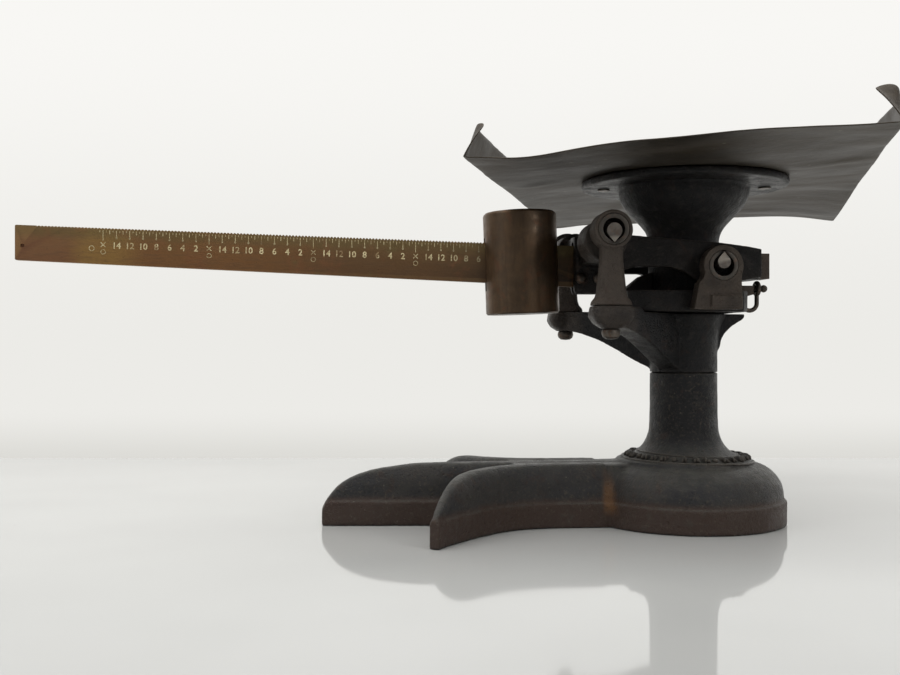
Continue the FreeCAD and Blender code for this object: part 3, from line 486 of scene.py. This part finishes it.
def casting(node, material, voxel, rounds, lumps):
    """A node remade as a sand casting: soft edges, filled corners and an uneven skin."""
    piece = bpy.data.objects.new(node + "_cast", frame["nodes"][node].data.copy())
    scene.collection.objects.link(piece)
    remesh = piece.modifiers.new("remesh", "REMESH")
    remesh.mode = "VOXEL"
    remesh.voxel_size = voxel
    remesh.use_smooth_shade = True
    soft = piece.modifiers.new("soft", "SMOOTH")
    soft.factor = 0.5
    soft.iterations = rounds
    for size, depth in ((14 * MM, lumps), (4 * MM, lumps * 0.45)):
        cloud = bpy.data.textures.new(node + "_skin", "CLOUDS")
        cloud.noise_scale = size
        skin = piece.modifiers.new("skin", "DISPLACE")
        skin.texture = cloud
        skin.texture_coords = "LOCAL"
        skin.mid_level = 0.75
        skin.strength = depth
    bake_modifiers(piece)
    painted(piece, material)
    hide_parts(node)
    return settle(piece, node)


def machined(node, material, edge):
    """A node kept as it is, with its sharp edges broken and its round faces shaded smooth."""
    piece = frame["nodes"][node]
    weld = piece.modifiers.new("weld", "WELD")
    weld.merge_threshold = 1e-6
    bevel = piece.modifiers.new("bevel", "BEVEL")
    bevel.width = edge
    bevel.segments = 2
    bevel.limit_method = "ANGLE"
    bevel.angle_limit = math.radians(35)
    bevel.use_clamp_overlap = True
    piece.data.shade_smooth()
    sharp = piece.modifiers.new("sharp", "WEIGHTED_NORMAL")
    sharp.keep_sharp = True
    sharp.weight = 100
    painted(piece, material)


def surface_of(piece):
    """A search tree over the piece's finished mesh, for setting things down on it."""
    return BVHTree.FromObject(piece, bpy.context.evaluated_depsgraph_get())


def height_on(tree, x, y, start):
    hit = tree.ray_cast(Vector((x, y, start)), Vector((0, 0, -1)))[0]
    return hit.z if hit else None


def fade(distance, reach):
    """0 up to no distance, rising evenly to 1 at the reach."""
    return min(max(distance / reach, 0.0), 1.0)


# ---- ornament round the foot of the column -------------------------------------------------------
def leaf(bm, at, turn, long, wide, tall):
    """A raised leaf-like lump with a crowned top."""
    loops = []
    for share, level in LEAF_RINGS:
        loop = []
        for i in range(LEAF_SIDES):
            t = 2 * math.pi * i / LEAF_SIDES
            blunt = math.sin(t) * abs(math.sin(t)) ** 0.2
            point = Vector((long / 2 * math.cos(t) * share, wide / 2 * blunt * share, tall * level))
            loop.append(bm.verts.new(at + Matrix.Rotation(turn, 3, "Z") @ point))
        loops.append(loop)
    for lower, upper in zip(loops, loops[1:]):
        for i in range(LEAF_SIDES):
            j = (i + 1) % LEAF_SIDES
            bm.faces.new((lower[i], lower[j], upper[j], upper[i]))
    bm.faces.new(list(reversed(loops[0])))
    bm.faces.new(loops[-1])


def foot_ornament(base, material):
    """A generic ring of crossed leaves, with a bead at every fourth place."""
    tree = surface_of(base)
    bm = bmesh.new()
    for i in range(ORNAMENT_COUNT):
        bearing = 2 * math.pi * (i + random.uniform(-0.12, 0.12)) / ORNAMENT_COUNT
        radius = ORNAMENT_R + random.uniform(-0.5, 0.5) * MM
        x, y = ORNAMENT_X + radius * math.cos(bearing), radius * math.sin(bearing)
        at = Vector((x, y, height_on(tree, x, y, FOOT_SEARCH_Z)))
        if i % BEAD_EVERY == 0:
            leaf(bm, at, bearing, 4.6 * MM, 4.0 * MM, random.uniform(1.8, 2.4) * MM)
            continue
        for way in (-1, 1):
            long = random.uniform(6.4, 8.6) * MM
            turn = bearing + way * random.uniform(0.25, 0.7)
            wide = random.uniform(1.8, 2.3) * MM
            leaf(bm, at, turn, long, wide, random.uniform(1.7, 2.7) * MM)
    settle(new_piece("foot_ornament", bm, material), "base_casting")


def foot_rims(base, material):
    """Two thin round rims, inside and outside the ring of leaves, that follow the base's top."""
    tree = surface_of(base)
    bm = bmesh.new()
    for beyond, thick in RIMS:
        radius = ORNAMENT_R + beyond
        rows = []
        for i in range(RIM_STEPS):
            t = 2 * math.pi * i / RIM_STEPS
            x, y = ORNAMENT_X + radius * math.cos(t), radius * math.sin(t)
            z = height_on(tree, x, y, FOOT_SEARCH_Z)
            row = []
            for k in range(RIM_SIDES):
                a = 2 * math.pi * k / RIM_SIDES
                out = radius + thick * math.cos(a)
                row.append(bm.verts.new((ORNAMENT_X + out * math.cos(t), out * math.sin(t),
                                         z + thick * math.sin(a))))
            rows.append(row)
        for here, there in zip(rows, rows[1:] + rows[:1]):
            for k in range(RIM_SIDES):
                m = (k + 1) % RIM_SIDES
                bm.faces.new((here[k], there[k], there[m], here[m]))
    settle(new_piece("foot_rims", bm, material), "base_casting")


# ---- graduations ---------------------------------------------------------------------------------
def beam_point(x, drop):
    """A point of the beam's near face, so far below its top edge."""
    low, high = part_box("beam_bar")
    return Vector((x, low.y, high.z + BEAM_SLOPE * (x - low.x) - drop))


def strip(bm, start, end, width):
    """A thin raised mark from start to end on the near face."""
    along = (end - start).normalized()
    side = Vector((along.z, 0, -along.x)) * (width / 2)
    front, back = Vector((0, MARK_SINK - MARK_THICK, 0)), Vector((0, MARK_SINK, 0))
    corners = [start - side, end - side, end + side, start + side]
    face = [bm.verts.new(c + front) for c in corners]
    foot = [bm.verts.new(c + back) for c in corners]
    bm.faces.new(face)
    bm.faces.new(list(reversed(foot)))
    for i in range(4):
        j = (i + 1) % 4
        bm.faces.new((face[j], face[i], foot[i], foot[j]))


def tick(bm, x, top, foot, width=1.0):
    """An upright mark; its width is in tick widths."""
    strip(bm, beam_point(x, top), beam_point(x, foot), TICK_WIDTH * width)


def ring_mark(bm, centre, radius):
    """A ring of short strips that overlap a little."""
    sides, overlap = 12, 1.15
    for i in range(sides):
        a, b = 2 * math.pi * i / sides, 2 * math.pi * (i + overlap) / sides
        strip(bm, centre + radius * Vector((math.cos(a), 0, math.sin(a))),
              centre + radius * Vector((math.cos(b), 0, math.sin(b))), TICK_WIDTH)


def pound_mark(bm, x):
    """A cross, with a ring below it."""
    for way in (-1, 1):
        strip(bm, beam_point(x - CROSS_HALF_W * way, CROSS_TOP),
              beam_point(x + CROSS_HALF_W * way, CROSS_FOOT), TICK_WIDTH * 1.3)
    ring_mark(bm, beam_point(x, RING_DROP), RING_R)


def numeral(bm, text, centre):
    """A numeral from Blender's own plain font, laid on the near face."""
    curve = bpy.data.curves.new("numeral", "FONT")
    curve.body = text
    curve.size = NUMERAL_SIZE
    curve.align_x = "CENTER"
    curve.align_y = "CENTER"
    curve.extrude = MARK_THICK / 2
    curve.offset = NUMERAL_BOLD
    curve.resolution_u = 3
    holder = bpy.data.objects.new("numeral", curve)
    scene.collection.objects.link(holder)
    bpy.context.view_layer.update()
    graph = bpy.context.evaluated_depsgraph_get()
    mesh = bpy.data.meshes.new_from_object(holder.evaluated_get(graph))
    upright = Matrix.Rotation(math.pi / 2, 4, "X")
    slope = Matrix.Rotation(math.atan(-BEAM_SLOPE), 4, "Y")
    sunk = centre + Vector((0, MARK_SINK - MARK_THICK / 2, 0))
    mesh.transform(Matrix.Translation(sunk) @ slope @ upright)
    bm.from_mesh(mesh)
    bpy.data.objects.remove(holder)
    bpy.data.curves.remove(curve)
    bpy.data.meshes.remove(mesh)


def graduations(material):
    """Ticks for half ounces and ounces, even numerals, and a cross with a ring at each pound."""
    bm = bmesh.new()
    for ounce in range(OUNCES):
        x = ZERO_X - ounce * OUNCE
        step = ounce % OUNCES_PER_POUND
        foot = POUND_TICK if step == 0 else EVEN_TICK if step % 2 == 0 else ODD_TICK
        tick(bm, x, TICK_TOP, foot)
        if step == 0 and ounce:
            pound_mark(bm, x)
        elif step % 2 == 0:
            if ounce:
                numeral(bm, str(step), beam_point(x, NUMERAL_DROP))
            tick(bm, x, foot - 0.9 * MM, foot + 0.2 * MM, 2.6)
        tick(bm, x - OUNCE / 2, TICK_TOP, HALF_TICK, 0.8)
    end_x = ZERO_X - OUNCES * OUNCE - END_RING_GAP
    ring_mark(bm, beam_point(end_x, END_RING_DROP), END_RING_R)
    settle(new_piece("beam_graduations", bm, material, smooth=False), "beam_bar")


# ---- tray ----------------------------------------------------------------------------------------
def tray_plan(across, along):
    """Floor-plan place of a point of the tray, from its distances to the middle."""
    c, s = math.cos(TRAY_YAW), math.sin(TRAY_YAW)
    across -= TRAY_TAPER * max(across / TRAY_HALF_W, 0.0) * (1 + along / TRAY_HALF_L) / 2
    return Vector((TRAY_CENTRE[0] + across * c - along * s, TRAY_CENTRE[1] + across * s + along * c))


def crease(across, along, at, heading, width, depth):
    """A soft fold along a straight line."""
    normal = Vector((-math.sin(heading), math.cos(heading)))
    distance = (Vector((across, along)) - Vector(at)) @ normal
    return depth * math.exp(-(distance / width) ** 2)


def tray_dents(across, along):
    """Small dents and folds, which fade out over the disc and beside the lips."""
    off_disc = fade(tray_plan(across, along).length - DISC_R - 4 * MM, 0.035)
    off_lips = fade(TRAY_HALF_W - abs(across), 0.020)
    wave = noise.noise(Vector((across * 16, along * 11, 2.0))) * 0.7 * MM
    wave += noise.noise(Vector((across * 42, along * 34, 7.0))) * 0.16 * MM
    for line in CREASES:
        wave += crease(across, along, *line)
    return off_disc * off_lips * wave


def lip_bend(side, along):
    """Length and lean of a lip at a place along it: its near end is longer and folded in."""
    end = along + TRAY_HALF_L
    fold = math.exp(-(end / FOLD_REACH) ** 2)
    length = LIP_LENGTH[side] + LIP_END_EXTRA[side] * math.exp(-(end / EXTRA_REACH) ** 2)
    if side < 0:
        lean = math.radians(16 + 19 * fold)
        length -= 3 * MM * max(1 - end / (3.5 * MM), 0.0) ** 2
    else:
        lean = math.radians(3 + 11 * fade(end - 0.030, 0.050) + 36 * fold)
    far_corner = max(1 - (TRAY_HALF_L - along) / (10 * MM), 0.0)
    return length - 7 * MM * far_corner ** 2, lean


def lip_offset(side, along, share):
    """Inward and upward reach of a lip, a share of the way up it."""
    length, lean = lip_bend(side, along)
    turn = lean * (0.75 + 0.25 * share)
    return share * length * math.sin(turn), share * length * math.cos(turn)


def tray_columns():
    """Stations across the sheet: (side, distance across, share of the way up the lip)."""
    spacing = 2 * TRAY_HALF_W / FLOOR_COLUMNS
    inner = [(0, -TRAY_HALF_W + spacing * i, 0.0) for i in range(FLOOR_COLUMNS + 1)]
    left = [(-1, -TRAY_HALF_W, share) for share in reversed(LIP_SHARES)]
    right = [(1, TRAY_HALF_W, share) for share in LIP_SHARES]
    return left + inner + right


def tray_rows():
    """Stations along the sheet, close together at its near end, where the lips are folded."""
    close = [-TRAY_HALF_L + CLOSE_STEP * j for j in range(CLOSE_ROWS)]
    start, spacing = close[-1], (TRAY_HALF_L - close[-1]) / OPEN_ROWS
    return close + [start + spacing * j for j in range(1, OPEN_ROWS + 1)]


def floor_height(tree, across, along):
    """Height of the frame's plain tray; beside the lips it is carried on from further in."""
    limit, step = 0.90 * TRAY_HALF_W, 6 * MM
    inside = min(max(across, -limit), limit)
    heights = []
    for place in (inside, inside - math.copysign(step, inside)):
        spot = tray_plan(place, along * 0.985)
        heights.append(height_on(tree, spot.x, spot.y, SEARCH_Z) or TRAY_Z)
    z, z_behind = heights
    return z + (z - z_behind) * abs(across - inside) / step


def tray_piece(material):
    """The tin tray as one bent sheet laid over the plain solid of the frame."""
    tree = surface_of(frame["nodes"]["tray_sheet"])
    bm = bmesh.new()
    grid = []
    for side, across, share in tray_columns():
        column = []
        for along in tray_rows():
            z = floor_height(tree, across, along) + tray_dents(across, along) - TRAY_THICK / 2
            inward, rise = lip_offset(side, along, share) if side else (0.0, 0.0)
            place = tray_plan(across - side * inward, along)
            column.append(bm.verts.new((place.x, place.y, z + rise)))
        grid.append(column)
    for here, there in zip(grid, grid[1:]):
        for j in range(len(here) - 1):
            bm.faces.new((here[j], there[j], there[j + 1], here[j + 1]))
    piece = new_piece("tray", bm, material)
    thick = piece.modifiers.new("thick", "SOLIDIFY")
    thick.thickness = TRAY_THICK
    thick.offset = 0.0
    fine = piece.modifiers.new("fine", "SUBSURF")
    fine.levels = 1
    bake_modifiers(piece)
    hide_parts("tray_sheet")
    settle(piece, "tray_sheet")


# ---- the object ----------------------------------------------------------------------------------
def castings():
    """Every cast piece: node, material, voxel size, rounds of smoothing, height of its lumps."""
    black, brown, lever, base_skin = black_iron(), brown_iron(), lever_iron(), base_iron()
    base = casting("base_casting", base_skin, 0.9 * MM, 3, 0.45 * MM)
    foot_ornament(base, base_skin)
    foot_rims(base, base_skin)
    casting("head_casting", black, 0.9 * MM, 5, 0.40 * MM)
    casting("neck_casting", black, 0.9 * MM, 4, 0.30 * MM)
    casting("bed_casting", lever, 0.8 * MM, 5, 0.40 * MM)
    casting("lever_frame", lever, 0.8 * MM, 4, 0.35 * MM)
    casting("heel_plug", brown, 0.4 * MM, 4, 0.15 * MM)
    casting("hook_peg", brown, 0.3 * MM, 3, 0.10 * MM)
    casting("check_link", brown, 0.4 * MM, 3, 0.05 * MM)
    casting("stem_clevis", brown, 0.4 * MM, 3, 0.05 * MM)
    for side in ("near", "far"):
        casting(side + "_bearing_post", brown, 0.5 * MM, 4, 0.30 * MM)
        casting(side + "_load_block", brown, 0.45 * MM, 4, 0.25 * MM)


def machined_parts():
    """Every machined piece: node, material, width of its broken edges."""
    steel, bearing, fastener = knife_steel(), bearing_steel(), fastener_steel()
    brass, bronze = beam_brass(), poise_bronze()
    for side in ("near", "far"):
        machined(side + "_fulcrum_bearing", bearing, 0.4 * MM)
        machined(side + "_load_bearing", bearing, 0.4 * MM)
        machined(side + "_fulcrum_pivot", steel, 0.15 * MM)
        machined(side + "_load_pivot", steel, 0.15 * MM)
        machined(side + "_post_screw", fastener, 0.3 * MM)
    machined("poise_pawl", steel, 0.15 * MM)
    for node in ("link_root_pin", "link_stem_pin", "stem_rod", "stem_nut", "tray_screws", "wire_hook"):
        machined(node, fastener, 0.25 * MM)
    machined("beam_bar", brass, 0.10 * MM)
    machined("beam_rivets", fastener, 0.15 * MM)
    machined("poise_body", bronze, 0.5 * MM)
    machined("poise_cap", bronze, 0.35 * MM)


# ---- surroundings --------------------------------------------------------------------------------
def stage_sheet(name, half_width, near, far, material):
    """A flat sheet square to the camera's heading; near and far are (ahead of the camera, height)."""
    ahead = Vector((math.sin(CAMERA_TURN), math.cos(CAMERA_TURN), 0))
    sideways = Vector((ahead.y, -ahead.x, 0)) * half_width
    start, end = (Vector((CAMERA_AT.x, CAMERA_AT.y, z)) + ahead * d for d, z in (near, far))
    bm = bmesh.new()
    corners = (start - sideways, start + sideways, end + sideways, end - sideways)
    bm.faces.new([bm.verts.new(corner) for corner in corners])
    new_piece(name, bm, material)


def room():
    """Glossy table top, and a pale wall well beyond its far edge."""
    stage_sheet("floor", TABLE_HALF_W, (TABLE_START, TABLE_Z), (TABLE_EDGE, TABLE_Z), glossy_table())
    stage_sheet("back_wall", WALL_HALF_W, (WALL_DISTANCE, WALL_FOOT), (WALL_DISTANCE, WALL_TOP),
                glowing_wall())


def lights():
    for name, at, towards, size, power in LIGHTS:
        light = bpy.data.lights.new(name, "AREA")
        light.shape = "RECTANGLE"
        light.size, light.size_y = size
        light.energy = power
        holder = bpy.data.objects.new(name, light)
        holder.location = at
        holder.rotation_euler = (Vector(towards) - Vector(at)).to_track_quat("-Z", "Y").to_euler()
        scene.collection.objects.link(holder)
    world = bpy.data.worlds.new("pale_world")
    world.use_nodes = True
    scene.world = world
    sky = world.node_tree.nodes["Background"]
    sky.inputs["Color"].default_value = SKY_COLOUR
    sky.inputs["Strength"].default_value = SKY_STRENGTH


def camera():
    data = bpy.data.cameras.new("camera")
    data.sensor_width = 36
    data.lens = LENS
    data.shift_y = SHIFT_Y
    data.clip_start = 0.02
    holder = bpy.data.objects.new("camera", data)
    holder.location = CAMERA_AT
    holder.rotation_euler = (math.pi / 2, 0, -CAMERA_TURN)
    scene.collection.objects.link(holder)
    scene.camera = holder


castings()
machined_parts()
tray_piece(tray_tin())
graduations(scale_paint())
room()
lights()
camera()
scene.view_settings.view_transform = "Standard"
